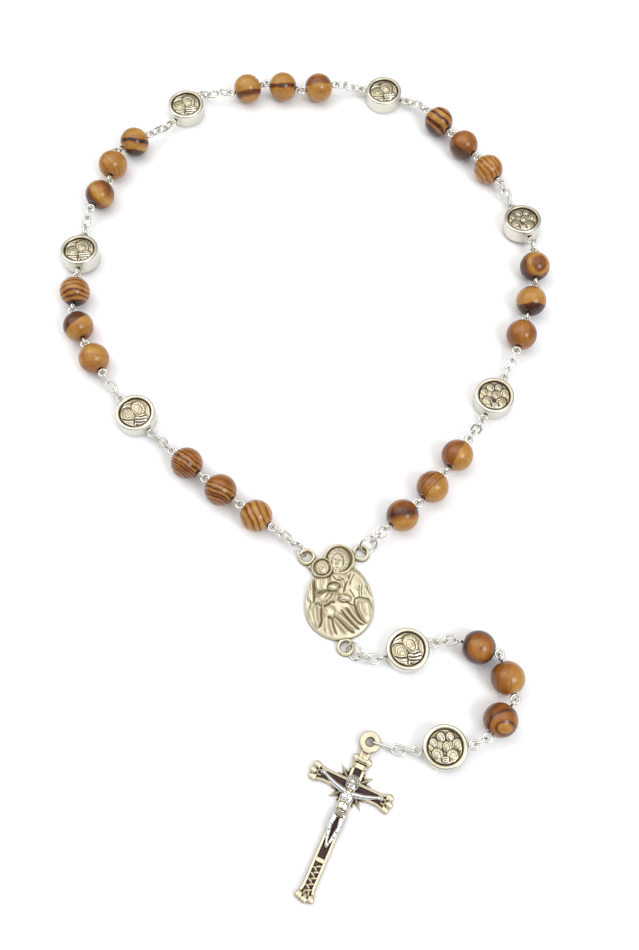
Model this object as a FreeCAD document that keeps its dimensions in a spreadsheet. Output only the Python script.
import FreeCAD, Part
import math
import os
import Sketcher

# Rosary laid flat on Z = 0, millimetres, +Z up.
# Origin: middle of the flat back of the centrepiece.  +Y runs from the
# centrepiece towards the far end of the loop, the tail hangs towards -Y.

Vector = FreeCAD.Vector
Rotation = FreeCAD.Rotation
Placement = FreeCAD.Placement

doc = FreeCAD.newDocument("rosary")
sheet = doc.addObject("Spreadsheet::Sheet", "sizes")

SIZES = [
    ("bead_diameter", 8.0),
    ("bead_length", 7.3),
    ("bead_bore", 0.74),
    ("mouth_diameter", 1.7),
    ("mouth_depth", 0.55),
    ("wire_diameter", 0.6),
    ("shank_diameter", 0.56),
    ("eye_radius", 1.0),
    ("eye_gap", 0.05),
    ("link_length", 3.1),
    ("link_radius", 1.1),
    ("ring_radius", 2.2),
    ("hook_length", 5.4),
    ("taut_play", 0.10),
    ("half_play", 0.30),
    ("loose_play", 0.60),
    ("ring_play", 0.5),
    ("medal_diameter", 10.2),
    ("medal_thickness", 4.4),
    ("medal_recess", 0.6),
    ("medal_face", 8.2),
    ("medal_chamfer", 0.4),
    ("medal_bore", 0.62),
    ("medal_mouth", 1.6),
    ("medal_mouth_depth", 0.9),
    ("centre_half_width", 8.35),
    ("centre_lower", 8.1),
    ("centre_upper", 11.0),
    ("centre_middle", -1.5),
    ("centre_plate", 1.4),
    ("centre_dome", 1.3),
    ("halo_radius", 4.0),
    ("halo_ring", 0.45),
    ("halo_lift", 0.5),
    ("child_halo_radius", 2.65),
    ("child_halo_lift", 0.9),
    ("ear_radius", 2.2),
    ("ear_hole", 2.5),
    ("ear_thickness", 0.7),
    ("ear_height", 1.34),
    ("beam_width", 3.2),
    ("cross_thickness", 1.6),
    ("arm_reach", 8.8),
    ("head_reach", 6.4),
    ("foot_reach", 25.2),
    ("flare_width", 4.1),
    ("flare_length", 1.7),
    ("lobe_radius", 0.9),
    ("lobe_spread", 1.45),
    ("panel_width", 2.1),
    ("panel_depth", 0.35),
    ("panel_margin", 0.95),
    ("ray_reach", 4.9),
    ("ray_root", 1.4),
    ("ray_root_radius", 0.7),
    ("ray_tip_radius", 0.08),
    ("title_length", 2.6),
    ("title_width", 1.1),
    ("title_height", 0.9),
    ("foot_plate_length", 2.1),
    ("foot_plate_width", 0.75),
    ("foot_plate_height", 0.7),
    ("bail_reach", 10.8),
    ("bail_radius", 2.5),
    ("bail_hole", 1.9),
    ("bail_thickness", 1.1),
    ("bail_height", 1.5),
    ("bail_neck_width", 2.3),
    ("bail_neck_length", 2.6),
]

for row, (alias, value) in enumerate(SIZES, start=1):
    sheet.set("A%d" % row, alias)
    sheet.set("B%d" % row, str(value))
    sheet.setAlias("B%d" % row, alias)
doc.recompute()


def size(alias):
    """Plain number kept in the sheet."""
    return float(sheet.get(alias))


def bind(item, prop, formula):
    """Drives one property from the sheet."""
    item.setExpression(prop, formula)


WIRE = size("wire_diameter") / 2.0
EYE = size("eye_radius")
LINK = size("link_length")
RING = 2.0 * size("ring_radius")
HOOK = size("hook_length")
BEAD_PIN = size("bead_length") + 2.0 * (size("eye_gap") + EYE + WIRE)
MEDAL_PIN = size("medal_diameter") + 2.0 * (size("eye_gap") + EYE + WIRE)
BEAD_AXIS = size("bead_diameter") / 2.0
MEDAL_AXIS = size("medal_thickness") / 2.0
EAR_AXIS = size("ear_height")
BAIL_AXIS = size("bail_height")


# ---------------------------------------------------------------- layout
# The chain is walked piece by piece from the three ears.  Every piece has a
# frame: X along the chain, Z close to upright.  Wires of neighbouring rings
# cross with one wire diameter plus a play between their centre lines.

def make_frame(heading, pitch, roll, near):
    """Placement whose origin is the near wire of a ring or eye."""
    turn = Rotation(Vector(0, 0, 1), heading)
    turn = turn.multiply(Rotation(Vector(0, 1, 0), -pitch))
    turn = turn.multiply(Rotation(Vector(1, 0, 0), roll))
    return Placement(near, turn)


def axis_of(frame, local):
    return frame.Rotation.multVec(local)


def next_near(far, far_axis, last_along, frame, near_axis, play):
    """Centre of the near wire that crosses the far wire of the last ring."""
    along = far_axis.cross(near_axis)
    along.normalize()
    if along.dot(last_along + axis_of(frame, Vector(1, 0, 0))) < 0:
        along = along * -1.0
    return far - along * (2.0 * WIRE + play)


# kind, number, oval links before it, heading, pitch, play of its joints, bend of the links
# Where a bead meets a medal with fewer than two links, the bead's wire dips and
# the medal leans on its far rim, so that their eyes meet at one height.
BEAD_LEAN = -3.0
MEDAL_LEAN = -7.0
TAUT = size("taut_play")
HALF = size("half_play")
LOOSE = size("loose_play")
LEFT_SIDE = [
    ("bead", 1, 3, 144, 0, HALF, 1),
    ("bead", 2, 0, 142, 0, TAUT, 0),
    ("bead", 3, 0, 139, 0, TAUT, 0),
    ("medal", 1, 3, 132, 0, TAUT, -1),
    ("bead", 4, 3, 122, 0, TAUT, -1),
    ("bead", 5, 0, 113, 0, LOOSE, 0),
    ("bead", 6, 0, 89, BEAD_LEAN, HALF, 0),
    ("medal", 2, 0, 89, MEDAL_LEAN, TAUT, 0),
    ("bead", 7, 3, 64, 0, TAUT, 1),
    ("bead", 8, 0, 83, 0, LOOSE, 0),
    ("bead", 9, 0, 33, 0, LOOSE, 0),
    ("medal", 3, 3, 54, 0, TAUT, -1),
]
RIGHT_SIDE = [
    ("bead", 10, 2, 39, 0, HALF, 0),
    ("bead", 11, 0, 49, 0, LOOSE, 0),
    ("bead", 12, 0, 55, 0, LOOSE, 0),
    ("medal", 4, 3, 63, 0, TAUT, -3),
    ("bead", 13, 3, 71, 0, TAUT, -4),
    ("bead", 14, 0, 73, 0, LOOSE, 0),
    ("bead", 15, 0, 87, BEAD_LEAN, HALF, 0),
    ("medal", 5, 1, 109, MEDAL_LEAN, TAUT, -2),
    ("bead", 16, 3, 124, 0, TAUT, -1),
    ("bead", 17, 0, 130, 0, LOOSE, 0),
    ("bead", 18, 0, 128, 0, LOOSE, 0),
    ("medal", 6, 3, 161, 0, TAUT, -3),
    ("bead", 19, 3, 193, 0, TAUT, 1),
    ("bead", 20, 0, 166, 0, LOOSE, 0),
    ("bead", 21, 0, 198, 0, LOOSE, 0),
]
TAIL = [
    ("medal", 7, 2, 16, 0, TAUT, 0),
    ("bead", 22, 2, -18, 0, TAUT, 4),
    ("bead", 23, 0, -73, 0, LOOSE, 0),
    ("bead", 24, 0, -129, BEAD_LEAN, HALF, 0),
    ("medal", 8, 1, -175, MEDAL_LEAN, TAUT, -2),
]
CROSS_HEADING = -204
CROSS_TURN = -24.4
# ear: hole centre X, hole centre Y, heading of the chain leaving it
LEFT_EAR = (-7.9, 11.2, 141)
RIGHT_EAR = (5.4, 12.2, 43)
LOWER_EAR = (1.4, -11.2, -34)
RING_ROLL = 50.0
RING_PITCH = 21.5
RING_SEAT = 0.45

frames = {}
links = {}
eyes = {}


def lay_ring(ear):
    """Jump ring in one ear; returns the state of its far wire."""
    along = Vector(math.cos(math.radians(ear[2])), math.sin(math.radians(ear[2])), 0)
    near = Vector(ear[0], ear[1], EAR_AXIS) + along * RING_SEAT
    frame = make_frame(ear[2], RING_PITCH, RING_ROLL - 90.0, near)
    along = axis_of(frame, Vector(1, 0, 0))
    far = near + along * (RING - size("ring_play"))
    return frame, far, axis_of(frame, Vector(0, 0, 1)), along


def lay_links(owner, count, state, heading_from, heading_to, height_to, play, bend, last):
    """Row of oval links, upright and flat in turn; returns the new state."""
    far, far_axis, along, upright = state
    lengths = [LINK] * count
    if last:
        lengths.append(HOOK)
    rise = height_to - far.z
    span = sum(lengths) - len(lengths) * (2.0 * WIRE + play)
    pitch = math.degrees(math.asin(rise / span)) if lengths else 0.0
    for index, length in enumerate(lengths):
        share = (index + 1.0) / (len(lengths) + 1.0)
        heading = heading_from + (heading_to - heading_from) * share + bend
        upright = not upright
        local = Vector(0, 0, 1) if upright else Vector(0, 1, 0)
        frame = make_frame(heading, pitch, 0, Vector(0, 0, 0))
        near = next_near(far, far_axis, along, frame, axis_of(frame, local), play)
        frame.Base = near
        along = axis_of(frame, Vector(1, 0, 0))
        far = near + along * length
        far_axis = axis_of(frame, local)
        links[owner].append((frame, length, upright))
    return far, far_axis, along, upright


def lay_side(side, state, heading):
    """Walks one branch and records every frame."""
    for kind, number, count, new_heading, pitch, play, bend in side:
        name = "%s_%02d" % (kind, number)
        links[name] = []
        length = BEAD_PIN if kind == "bead" else MEDAL_PIN
        lean = math.radians(abs(pitch))
        if kind == "bead":
            middle_height = BEAD_AXIS
        else:
            middle_height = (MEDAL_AXIS * math.cos(lean)
                             + size("medal_diameter") / 2.0 * math.sin(lean))
        near_height = middle_height - (EYE + length / 2.0) * math.sin(math.radians(pitch))
        far, far_axis, along, upright = lay_links(
            name, count, state, heading, new_heading, near_height, play, bend, False)
        frame = make_frame(new_heading, pitch, 0, Vector(0, 0, 0))
        local = Vector(0, 1, 0) if upright else Vector(0, 0, 1)
        near = next_near(far, far_axis, along, frame, axis_of(frame, local), play)
        near.z = near_height
        along = axis_of(frame, Vector(1, 0, 0))
        frame.Base = near + along * (EYE + length / 2.0)
        frames[name] = frame
        eyes[name] = upright
        far = near + along * (2.0 * EYE + length)
        state = (far, axis_of(frame, Vector(0, 1, 0)), along, False)
        heading = new_heading
    return state, heading


rings = []
for ear, side in ((LEFT_EAR, LEFT_SIDE), (RIGHT_EAR, RIGHT_SIDE), (LOWER_EAR, TAIL)):
    ring_frame, far, far_axis, along = lay_ring(ear)
    rings.append(ring_frame)
    end_state, end_heading = lay_side(side, (far, far_axis, along, False), ear[2])
    if side is LEFT_SIDE:
        left_end = end_state
    elif side is RIGHT_SIDE:
        right_end = end_state

# links on the way from the last medal to the cross
links["hook"] = []
hook_end = lay_links("hook", 2, end_state, end_heading, CROSS_HEADING,
                     BAIL_AXIS, TAUT, 0, True)
bail_seat = size("bail_hole") / 2.0 - WIRE - HALF
bail_centre = hook_end[0] + hook_end[2] * bail_seat
bail_centre.z = 0.0

# the open pivot: two links on the left end face one link on the right end
opening = right_end[0] - left_end[0]
open_heading = math.degrees(math.atan2(opening.y, opening.x))
middle = left_end[0] + opening * (2.0 / 3.0)
links["open_left"] = []
links["open_right"] = []
lay_links("open_left", 2, left_end, open_heading, open_heading, middle.z, TAUT, 0, False)
lay_links("open_right", 1, right_end, open_heading + 180, open_heading + 180,
          middle.z, TAUT, 0, False)


# ---------------------------------------------------------------- helpers

def origin_plane(body, role):
    for feature in body.Origin.OriginFeatures:
        if feature.Role == role:
            return feature
    raise ValueError(role)


def new_sketch(body, name, role):
    sketch = body.newObject("Sketcher::SketchObject", name)
    sketch.AttachmentSupport = [(origin_plane(body, role), "")]
    sketch.MapMode = "FlatFace"
    return sketch


def hold(sketch, geo, pos, direction, formula, value):
    """Signed distance of a sketch point from the sketch origin, from a formula."""
    kind = "DistanceX" if direction == "X" else "DistanceY"
    index = sketch.addConstraint(Sketcher.Constraint(kind, -1, 1, geo, pos, value))
    sketch.setExpression("Constraints[%d]" % index, formula)


def closed_polygon(sketch, corners):
    """Closed polygon; every corner is (x, x formula, y, y formula)."""
    count = len(corners)
    for index in range(count):
        first = corners[index]
        second = corners[(index + 1) % count]
        sketch.addGeometry(Part.LineSegment(Vector(first[0], first[2], 0),
                                            Vector(second[0], second[2], 0)))
    for index in range(count):
        sketch.addConstraint(
            Sketcher.Constraint("Coincident", index, 2, (index + 1) % count, 1))
    for index, corner in enumerate(corners):
        hold(sketch, index, 1, "X", corner[1], corner[0])
        hold(sketch, index, 1, "Y", corner[3], corner[2])


def primitive(kind, name, sizes, place):
    """Part primitive; sizes maps a property to a number or a sheet formula."""
    item = doc.addObject("Part::" + kind, name)
    for prop, value in sizes.items():
        if isinstance(value, str):
            bind(item, prop, value)
        else:
            setattr(item, prop, value)
    item.Placement = place
    return item


def fuse(name, items):
    joined = doc.addObject("Part::MultiFuse", name)
    joined.Shapes = items
    return joined


def cut(name, base, tool):
    result = doc.addObject("Part::Cut", name)
    result.Base = base
    result.Tool = tool
    return result


def at(x, y, z, rotation=None):
    return Placement(Vector(x, y, z), rotation or Rotation())


ALONG_X = Rotation(Vector(0, 1, 0), 90)
UPRIGHT = Rotation(Vector(1, 0, 0), 90)
nodes = []


def finish(item, label, place):
    item.Label = label
    item.Placement = place
    nodes.append(item)
    return item


def group(label, items, place):
    """Several separate solids of one material under one name."""
    result = doc.addObject("Part::Compound", label)
    result.Links = items
    return finish(result, label, place)


# ---------------------------------------------------------------- small parts

def make_bead(label, place):
    """Turned bead: a ball cut flat at both ends, with a countersunk bore."""
    body = doc.addObject("PartDesign::Body", label)
    sketch = new_sketch(body, label + "_profile", "XZ_Plane")
    radius = size("bead_diameter") / 2.0
    half = size("bead_length") / 2.0
    bore = size("bead_bore") / 2.0
    mouth = size("mouth_diameter") / 2.0
    inner = half - size("mouth_depth")
    flat = math.sqrt(radius ** 2 - half ** 2)
    angle = math.atan2(flat, half)
    sketch.addGeometry(Part.ArcOfCircle(
        Part.Circle(Vector(0, 0, 0), Vector(0, 0, 1), radius), angle, math.pi - angle))
    corners = [(-half, flat), (-half, mouth), (-inner, bore), (inner, bore),
               (half, mouth), (half, flat)]
    for first, second in zip(corners, corners[1:]):
        sketch.addGeometry(Part.LineSegment(Vector(first[0], first[1], 0),
                                            Vector(second[0], second[1], 0)))
    sketch.addConstraint(Sketcher.Constraint("Coincident", 0, 3, -1, 1))
    sketch.addConstraint(Sketcher.Constraint("Coincident", 0, 2, 1, 1))
    for index in range(1, 5):
        sketch.addConstraint(Sketcher.Constraint("Coincident", index, 2, index + 1, 1))
    sketch.addConstraint(Sketcher.Constraint("Coincident", 5, 2, 0, 1))
    index = sketch.addConstraint(Sketcher.Constraint("Radius", 0, radius))
    sketch.setExpression("Constraints[%d]" % index, "sizes.bead_diameter / 2")
    hold(sketch, 1, 1, "X", "-sizes.bead_length / 2", -half)
    hold(sketch, 2, 1, "X", "-sizes.bead_length / 2", -half)
    hold(sketch, 2, 1, "Y", "sizes.mouth_diameter / 2", mouth)
    hold(sketch, 3, 1, "X", "sizes.mouth_depth - sizes.bead_length / 2", -inner)
    hold(sketch, 3, 1, "Y", "sizes.bead_bore / 2", bore)
    hold(sketch, 4, 1, "X", "sizes.bead_length / 2 - sizes.mouth_depth", inner)
    hold(sketch, 4, 1, "Y", "sizes.bead_bore / 2", bore)
    hold(sketch, 5, 1, "X", "sizes.bead_length / 2", half)
    hold(sketch, 5, 1, "Y", "sizes.mouth_diameter / 2", mouth)
    hold(sketch, 5, 2, "X", "sizes.bead_length / 2", half)
    turned = body.newObject("PartDesign::Revolution", label + "_turned")
    turned.Profile = sketch
    turned.ReferenceAxis = (sketch, ["H_Axis"])
    turned.Angle = 360.0
    sketch.Visibility = False
    return finish(body, label, place)


def make_eye_pin(name, pin_length, start_flat, place):
    """Straight wire with a round eye at each end, the far eye lying flat."""
    ring = {"Radius1": "sizes.eye_radius", "Radius2": "sizes.wire_diameter / 2"}
    start = primitive("Torus", name + "_start", ring,
                      at(-pin_length / 2.0, 0, 0, Rotation() if start_flat else UPRIGHT))
    end = primitive("Torus", name + "_end", ring, at(pin_length / 2.0, 0, 0))
    straight = pin_length - 2.0 * EYE
    shank = primitive("Cylinder", name + "_shank",
                      {"Radius": "sizes.shank_diameter / 2", "Height": straight},
                      at(-straight / 2.0, 0, 0, ALONG_X))
    pin = fuse(name, [shank, start, end])
    pin.Placement = place
    return pin


def make_link(name, length, upright, place):
    """Oval link: two half rings joined by two straight sides."""
    radius = size("link_radius")
    side = length - 2.0 * radius
    half = {"Radius1": "sizes.link_radius", "Radius2": "sizes.wire_diameter / 2",
            "Angle3": 180.0}
    near = primitive("Torus", name + "_near", half, at(radius, 0, 0, Rotation(Vector(0, 0, 1), 90)))
    far = primitive("Torus", name + "_far", half,
                    at(length - radius, 0, 0, Rotation(Vector(0, 0, 1), -90)))
    bar = {"Radius": "sizes.wire_diameter / 2", "Height": side}
    above = primitive("Cylinder", name + "_above", bar, at(radius, radius, 0, ALONG_X))
    below = primitive("Cylinder", name + "_below", bar, at(radius, -radius, 0, ALONG_X))
    link = fuse(name, [near, above, far, below])
    roll = Placement(Vector(0, 0, 0), UPRIGHT if upright else Rotation())
    link.Placement = place.multiply(roll)
    return link


def owned_links(owner, frame, entries, prefix):
    """Links that travel with a piece, placed in that piece's own frame."""
    inverse = frame.inverse()
    made = []
    for index, (link_frame, length, upright) in enumerate(entries, start=1):
        made.append(make_link("%s_%s%d" % (owner, prefix, index), length, upright,
                              inverse.multiply(link_frame)))
    return made


def add_blobs(name, blobs):
    """Rounded relief forms: (x, y, z, half x, half y, half z, turn)."""
    made = []
    for index, (x, y, z, half_x, half_y, half_z, turn) in enumerate(blobs, start=1):
        made.append(primitive("Ellipsoid", "%s_%d" % (name, index),
                              {"Radius1": half_z, "Radius2": half_x, "Radius3": half_y},
                              at(x, y, z, Rotation(Vector(0, 0, 1), turn))))
    return made


# ---------------------------------------------------------------- medals
# Relief A: an adult leaning over a child.  Relief B: a family of three.
RELIEF_A = [
    (0.5, 1.0, 0.0, 1.45, 1.75, 0.50, 20),
    (-1.6, -0.9, 0.0, 1.10, 1.25, 0.46, -15),
    (1.4, -1.7, 0.0, 2.10, 1.15, 0.38, -20),
    (-1.2, -2.6, 0.0, 1.50, 0.80, 0.34, 10),
]
RELIEF_B = [
    (-1.3, 1.6, 0.0, 1.00, 1.20, 0.46, 15),
    (1.3, 1.4, 0.0, 0.95, 1.15, 0.46, -15),
    (0.1, -0.8, 0.0, 0.85, 0.95, 0.44, 0),
    (-1.7, -1.3, 0.0, 1.25, 1.90, 0.36, 20),
    (1.8, -1.3, 0.0, 1.25, 1.90, 0.36, -20),
    (0.1, -2.6, 0.0, 1.60, 0.75, 0.34, 0),
]
FAMILY_MEDALS = ("medal_04", "medal_05", "medal_08")


def make_medal(name, frame):
    """Thick round medal, both faces sunk inside a raised rim, bored sideways."""
    body = doc.addObject("PartDesign::Body", name + "_disc")
    sketch = new_sketch(body, name + "_profile", "XZ_Plane")
    outer = size("medal_diameter") / 2.0
    top = size("medal_thickness") / 2.0
    face = size("medal_face") / 2.0
    depth = size("medal_recess")
    bevel = size("medal_chamfer")
    outer_f = "sizes.medal_diameter / 2"
    top_f = "sizes.medal_thickness / 2"
    face_f = "sizes.medal_face / 2"
    closed_polygon(sketch, [
        (0.0, "0 * sizes.medal_face", depth - top, "sizes.medal_recess - " + top_f),
        (face, face_f, depth - top, "sizes.medal_recess - " + top_f),
        (face, face_f, -top, "-" + top_f),
        (outer - bevel, outer_f + " - sizes.medal_chamfer", -top, "-" + top_f),
        (outer, outer_f, bevel - top, "sizes.medal_chamfer - " + top_f),
        (outer, outer_f, top - bevel, top_f + " - sizes.medal_chamfer"),
        (outer - bevel, outer_f + " - sizes.medal_chamfer", top, top_f),
        (face, face_f, top, top_f),
        (face, face_f, top - depth, top_f + " - sizes.medal_recess"),
        (0.0, "0 * sizes.medal_face", top - depth, top_f + " - sizes.medal_recess"),
    ])
    turned = body.newObject("PartDesign::Revolution", name + "_turned")
    turned.Profile = sketch
    turned.ReferenceAxis = (sketch, ["V_Axis"])
    turned.Angle = 360.0
    sketch.Visibility = False
    bore = primitive("Cylinder", name + "_bore",
                     {"Radius": "sizes.medal_bore / 2", "Height": "sizes.medal_diameter + 2"},
                     at(-outer - 1.0, 0, 0, ALONG_X))
    mouth = {"Radius1": "sizes.medal_mouth / 2", "Radius2": "sizes.medal_bore / 2",
             "Height": "sizes.medal_mouth_depth"}
    near = primitive("Cone", name + "_near_mouth", mouth, at(-outer, 0, 0, ALONG_X))
    far = primitive("Cone", name + "_far_mouth", mouth,
                    at(outer, 0, 0, Rotation(Vector(0, 1, 0), -90)))
    bored = cut(name + "_bored", body, fuse(name + "_holes", [bore, near, far]))
    relief = RELIEF_B if name in FAMILY_MEDALS else RELIEF_A
    # the picture stands upright along +Y however the medal is turned
    turn = -frame.Rotation.toEuler()[0]
    turned_relief = []
    for x, y, z, half_x, half_y, half_z, angle in relief:
        spot = Rotation(Vector(0, 0, 1), turn).multVec(Vector(x, y, 0))
        turned_relief.append((spot.x, spot.y, top - depth + z, half_x, half_y, half_z,
                              angle + turn))
    return fuse(name + "_solid", [bored] + add_blobs(name + "_relief", turned_relief))


# ---------------------------------------------------------------- build chain
# In a row of links the first travels with the piece before the row and the
# others with the piece after it; a row from a jump ring goes whole with the latter.
FIRST_PIECES = ("bead_01", "bead_10", "medal_07")
NEXT_PIECE = {
    "bead_03": "medal_01", "medal_01": "bead_04", "medal_02": "bead_07",
    "bead_09": "medal_03", "bead_12": "medal_04", "medal_04": "bead_13",
    "medal_05": "bead_16", "bead_18": "medal_06", "medal_06": "bead_19",
    "medal_07": "bead_22",
}
END_LINKS = {"medal_03": "open_left", "bead_21": "open_right", "medal_08": "hook"}

for name, frame in sorted(frames.items()):
    before = links[name]
    whole_row = name in FIRST_PIECES or len(before) < 2
    own = owned_links(name, frame, before if whole_row else before[1:], "link")
    if name in END_LINKS:
        own += owned_links(name, frame, links[END_LINKS[name]], "end")
    if name in NEXT_PIECE:
        own += owned_links(name, frame, links[NEXT_PIECE[name]][:1], "lead")
    if name.startswith("bead"):
        make_bead(name, frame)
        pin = make_eye_pin(name + "_wire", BEAD_PIN, eyes[name], at(0, 0, 0))
        if own:
            group("pin_" + name[5:], [pin] + own, frame)
        else:
            finish(pin, "pin_" + name[5:], frame)
    else:
        pin = make_eye_pin(name + "_wire", MEDAL_PIN, eyes[name], at(0, 0, 0))
        group(name, [make_medal(name, frame), pin] + own, frame)


# ---------------------------------------------------------------- centrepiece
ADULT_HALO = (0.0, 10.3)
CHILD_HALO = (-4.2, 8.1)
# rounded forms of the two figures, their robes, hands and the lily
FIGURES = [
    (-0.3, 9.9, 2.3, 1.70, 2.30, 1.50, 0),
    (-0.1, 10.6, 1.9, 2.40, 2.30, 1.20, 0),
    (-4.1, 8.0, 2.4, 1.35, 1.60, 1.10, 0),
    (2.6, 4.6, 2.0, 3.30, 2.30, 1.30, -50),
    (-4.0, 4.4, 2.1, 2.10, 2.00, 1.30, 0),
    (-2.2, 1.2, 2.2, 3.60, 1.40, 1.20, 14),
    (-1.6, 3.3, 2.7, 1.35, 1.00, 0.90, 0),
    (1.2, -0.2, 2.5, 1.60, 0.90, 0.80, -10),
    (-1.6, -2.4, 2.3, 2.00, 1.40, 0.90, 20),
    (6.0, -2.2, 2.0, 1.50, 3.00, 1.00, 12),
    (1.8, -4.6, 1.9, 0.90, 4.20, 1.00, 42),
    (-0.6, -6.0, 1.8, 0.80, 2.60, 0.90, 8),
    (-5.6, -3.6, 1.9, 0.90, 3.20, 0.90, 0),
    (3.8, 4.2, 3.0, 0.80, 0.80, 0.50, 0),
]

def make_centrepiece():
    """Domed egg-shaped plaque with two haloed figures and three ears."""
    body = doc.addObject("PartDesign::Body", "centre_plate")
    sketch = new_sketch(body, "centre_outline", "XY_Plane")
    wide = size("centre_half_width")
    lower = size("centre_lower")
    upper = size("centre_upper")
    middle = Vector(0, size("centre_middle"), 0)
    bottom = Part.Ellipse(middle + Vector(wide, 0, 0), middle + Vector(0, lower, 0), middle)
    crown = Part.Ellipse(middle + Vector(0, upper, 0), middle + Vector(-wide, 0, 0), middle)
    sketch.addGeometry(Part.ArcOfEllipse(bottom, math.pi, 2.0 * math.pi))
    sketch.addGeometry(Part.ArcOfEllipse(crown, -math.pi / 2.0, math.pi / 2.0))
    pad = body.newObject("PartDesign::Pad", "centre_pad")
    pad.Profile = sketch
    bind(pad, "Length", "sizes.centre_plate")
    sketch.Visibility = False
    dome_low = primitive("Ellipsoid", "dome_low",
                         {"Radius1": "sizes.centre_dome", "Radius2": "sizes.centre_half_width",
                          "Radius3": "sizes.centre_lower", "Angle1": 0.0, "Angle3": 180.0},
                         at(0, middle.y, size("centre_plate"), Rotation(Vector(0, 0, 1), 180)))
    dome_high = primitive("Ellipsoid", "dome_high",
                          {"Radius1": "sizes.centre_dome", "Radius2": "sizes.centre_half_width",
                           "Radius3": "sizes.centre_upper", "Angle1": 0.0, "Angle3": 180.0},
                          at(0, middle.y, size("centre_plate")))
    plate_top = size("centre_plate")
    solids = [body, dome_low, dome_high]
    for name, spot, radius, lift in (("adult_halo", ADULT_HALO, "halo_radius", "halo_lift"),
                                     ("child_halo", CHILD_HALO, "child_halo_radius",
                                      "child_halo_lift")):
        disc = {"Radius": "sizes." + radius, "Height": "sizes.centre_plate + sizes." + lift}
        solids.append(primitive("Cylinder", name, disc, at(spot[0], spot[1], 0)))
        rim = {"Radius1": "sizes." + radius + " - sizes.halo_ring",
               "Radius2": "sizes.halo_ring"}
        solids.append(primitive("Torus", name + "_rim", rim,
                                at(spot[0], spot[1], plate_top + size(lift))))
    solids += add_blobs("figure", FIGURES)
    holes = []
    for index, ear in enumerate((LEFT_EAR, RIGHT_EAR, LOWER_EAR), start=1):
        base = size("ear_height") - size("ear_thickness") / 2.0
        solids.append(primitive("Cylinder", "ear_%d" % index,
                                {"Radius": "sizes.ear_radius", "Height": "sizes.ear_thickness"},
                                at(ear[0], ear[1], base)))
        holes.append(primitive("Cylinder", "ear_hole_%d" % index,
                               {"Radius": "sizes.ear_hole / 2", "Height": 6.0},
                               at(ear[0], ear[1], -1.0)))
    solids.append(primitive("Box", "left_neck", {"Length": 2.6, "Width": 2.2,
                                                 "Height": "sizes.ear_thickness"},
                            at(-7.0, 8.0, 0.9)))
    whole = fuse("centre_solid", solids)
    result = cut("centre_piece", whole, fuse("ear_holes", holes))
    return finish(result, "centerpiece", at(0, 0, 0))


make_centrepiece()
ring_solids = []
for index, frame in enumerate(rings, start=1):
    ring = primitive("Torus", "jump_ring_%d" % index,
                     {"Radius1": "sizes.ring_radius", "Radius2": "sizes.wire_diameter / 2"},
                     frame.multiply(at(size("ring_radius"), 0, 0, UPRIGHT)))
    ring_solids.append(ring)
group("jump_rings", ring_solids, at(0, 0, 0))


# ---------------------------------------------------------------- crucifix
cross_frame = Placement(bail_centre, Rotation(Vector(0, 0, 1), CROSS_TURN)).multiply(
    at(0, -size("bail_reach"), 0))


# lobes at the four ends, rays between the beams as (angle, share of the reach)
LOBE_OUT = 0.1
MIDDLE_LOBE_OUT = 0.4
RAYS = ((27, 0.92), (45, 1.12), (63, 0.92))
RAY_GAP = 0.05
NECK_OVERLAP = 0.4
SINK = 0.1
# blank title plate, small foot plate and a climbing row of leaves below it
TITLE_Y = 4.8
FOOT_PLATE_Y = -17.4
LEAVES = 5
LEAF_SHIFT = 0.27
LEAF_STEP = 1.12
FIRST_LEAF_Y = -18.9


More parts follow.
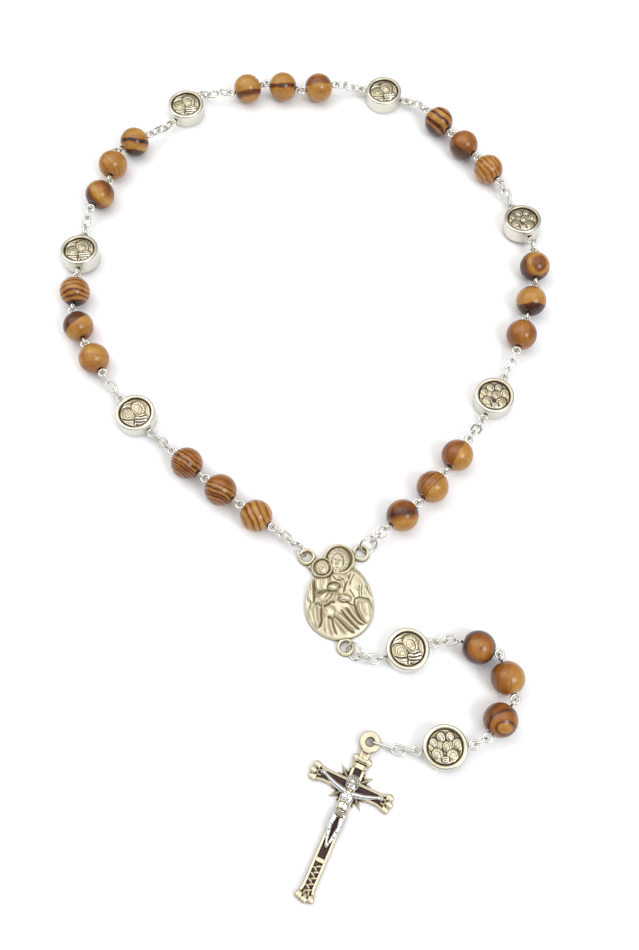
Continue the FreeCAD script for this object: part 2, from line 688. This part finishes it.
def make_cross():
    """Flat cross with flared three-lobed ends, rays, sunk panels and a bail."""
    body = doc.addObject("PartDesign::Body", "cross_beams")
    sketch = new_sketch(body, "cross_outline", "XY_Plane")
    half = size("beam_width") / 2.0
    wide = size("flare_width") / 2.0
    flare = size("flare_length")
    arm = size("arm_reach")
    head = size("head_reach")
    foot = size("foot_reach")
    half_f = "sizes.beam_width / 2"
    wide_f = "sizes.flare_width / 2"
    arm_f = "sizes.arm_reach"
    head_f = "sizes.head_reach"
    foot_f = "sizes.foot_reach"
    flare_f = " - sizes.flare_length"
    right = [
        (wide, wide_f, head, head_f),
        (half, half_f, head - flare, head_f + flare_f),
        (half, half_f, half, half_f),
        (arm - flare, arm_f + flare_f, half, half_f),
        (arm, arm_f, wide, wide_f),
        (arm, arm_f, -wide, "-" + wide_f),
        (arm - flare, arm_f + flare_f, -half, "-" + half_f),
        (half, half_f, -half, "-" + half_f),
        (half, half_f, flare - foot, "sizes.flare_length - sizes.foot_reach"),
        (wide, wide_f, -foot, "-" + foot_f),
    ]
    left = [(-x, "-(" + x_formula + ")", y, y_formula) for x, x_formula, y, y_formula in right]
    closed_polygon(sketch, right + left[::-1])
    pad = body.newObject("PartDesign::Pad", "cross_pad")
    pad.Profile = sketch
    bind(pad, "Length", "sizes.cross_thickness")
    sketch.Visibility = False
    top = size("cross_thickness")
    solids = [body]
    lobe = {"Radius": "sizes.lobe_radius", "Height": "sizes.cross_thickness"}
    for index, (reach, angle) in enumerate(((head, 90), (arm, 0), (arm, 180), (foot, 270))):
        turn = Rotation(Vector(0, 0, 1), angle)
        for spot, side in enumerate((-1, 0, 1)):
            out = reach + LOBE_OUT + (MIDDLE_LOBE_OUT if side == 0 else 0.0)
            centre = turn.multVec(Vector(out, side * size("lobe_spread"), 0))
            solids.append(primitive("Cylinder", "lobe_%d_%d" % (index, spot), lobe,
                                    at(centre.x, centre.y, 0)))
    for index in range(4):
        for spot, (tilt, reach) in enumerate(RAYS):
            angle = math.radians(index * 90 + tilt)
            along = Vector(math.cos(angle), math.sin(angle), 0)
            start = along * size("ray_root")
            ray = primitive("Cone", "ray_%d_%d" % (index, spot),
                            {"Radius1": "sizes.ray_root_radius",
                             "Radius2": "sizes.ray_tip_radius",
                             "Height": "sizes.ray_reach * %.2f - sizes.ray_root" % reach},
                            at(start.x, start.y, size("ray_root_radius") + RAY_GAP,
                               Rotation(Vector(0, 0, 1), along)))
            solids.append(ray)
    solids.append(primitive("Cylinder", "bail_ring",
                            {"Radius": "sizes.bail_radius", "Height": "sizes.bail_thickness"},
                            at(0, size("bail_reach"), size("bail_height")
                               - size("bail_thickness") / 2.0)))
    solids.append(primitive("Box", "bail_neck",
                            {"Length": "sizes.bail_neck_width", "Width": "sizes.bail_neck_length",
                             "Height": "sizes.bail_thickness"},
                            at(-size("bail_neck_width") / 2.0, head - NECK_OVERLAP,
                               size("bail_height") - size("bail_thickness") / 2.0)))
    tools = [primitive("Cylinder", "bail_bore",
                       {"Radius": "sizes.bail_hole / 2", "Height": 5.0},
                       at(0, size("bail_reach"), -1.0))]
    sunk = {"Height": "2 * sizes.panel_depth"}
    width = size("panel_width")
    floor = top - size("panel_depth")
    margin = size("panel_margin")
    panels = [(-width / 2.0, margin - foot, width, foot + head - 2.0 * margin),
              (margin - arm, -width / 2.0, 2.0 * (arm - margin), width)]
    for index, (x, y, length, depth) in enumerate(panels):
        panel = dict(sunk)
        panel["Length"] = length
        panel["Width"] = depth
        tools.append(primitive("Box", "panel_%d" % index, panel, at(x, y, floor)))
    plain = cut("cross_sunk", fuse("cross_joined", solids), fuse("cross_tools", tools))
    extras = [plain]
    for name, centre_y in (("title", TITLE_Y), ("foot_plate", FOOT_PLATE_Y)):
        plate = {"Length": "sizes.%s_length" % name, "Width": "sizes.%s_width" % name,
                 "Height": "sizes.%s_height" % name}
        extras.append(primitive("Box", name, plate,
                                at(-size(name + "_length") / 2.0,
                                   centre_y - size(name + "_width") / 2.0, floor - SINK)))
    for index in range(LEAVES):
        extras.append(primitive("Ellipsoid", "leaf_%d" % index,
                                {"Radius1": 0.45, "Radius2": 0.6, "Radius3": 0.66},
                                at(LEAF_SHIFT * (-1) ** index,
                                   FIRST_LEAF_Y - LEAF_STEP * index, floor)))
    result = fuse("cross_whole", extras)
    return finish(result, "crucifix_cross", cross_frame)


# the figure: head, chest, waist, cloth and feet as rounded forms above the panels
TORSO = [
    (0.0, 1.2, 0.95, 1.07, 1.50, 1.25, 8),
    (0.0, -2.0, 0.50, 1.25, 2.25, 1.00, 0),
    (0.0, -5.2, 0.50, 1.02, 1.80, 0.85, 0),
    (0.0, -7.2, 0.60, 1.38, 1.30, 0.95, 0),
    (0.0, -13.9, 0.40, 0.75, 1.15, 0.70, 0),
]
# arm, leg and hand on the +X side; the other side mirrors them
LIMBS = [
    (3.6, 0.0, 0.60, 3.55, 0.56, 0.72, 13),
    (0.52, -10.3, 0.45, 0.66, 3.90, 0.80, -3),
    (7.25, 0.85, 0.55, 0.80, 0.64, 0.62, 12),
]


def make_corpus():
    """Cast figure lying on the sunk panels, flat behind."""
    base = size("cross_thickness") - SINK
    forms = list(TORSO)
    for x, y, z, half_x, half_y, half_z, turn in LIMBS:
        for side in (-1, 1):
            forms.append((side * x, y, z, half_x, half_y, half_z, side * turn))
    solids = add_blobs("corpus", [(x, y, base + z, half_x, half_y, half_z, turn)
                                  for x, y, z, half_x, half_y, half_z, turn in forms])
    whole = fuse("corpus_whole", solids)
    deep = 10.0
    slab = primitive("Box", "corpus_slab", {"Length": 4.0 * deep, "Width": 4.0 * deep,
                                            "Height": deep},
                     at(-2.0 * deep, -2.5 * deep, size("cross_thickness") - deep))
    return finish(cut("corpus_flat", whole, slab), "crucifix_corpus", cross_frame)


make_cross()
make_corpus()

# ---------------------------------------------------------------- write out
doc.recompute()
for item in doc.Objects:
    if "Invalid" in item.State or "Error" in item.State:
        raise RuntimeError("%s is %s" % (item.Label, item.State))
os.makedirs("parts", exist_ok=True)
for item in nodes:
    shape = item.Shape
    if shape.isNull() or not shape.isValid():
        raise RuntimeError("%s has no valid shape" % item.Label)
    shape.exportStep("parts/%s.step" % item.Label)
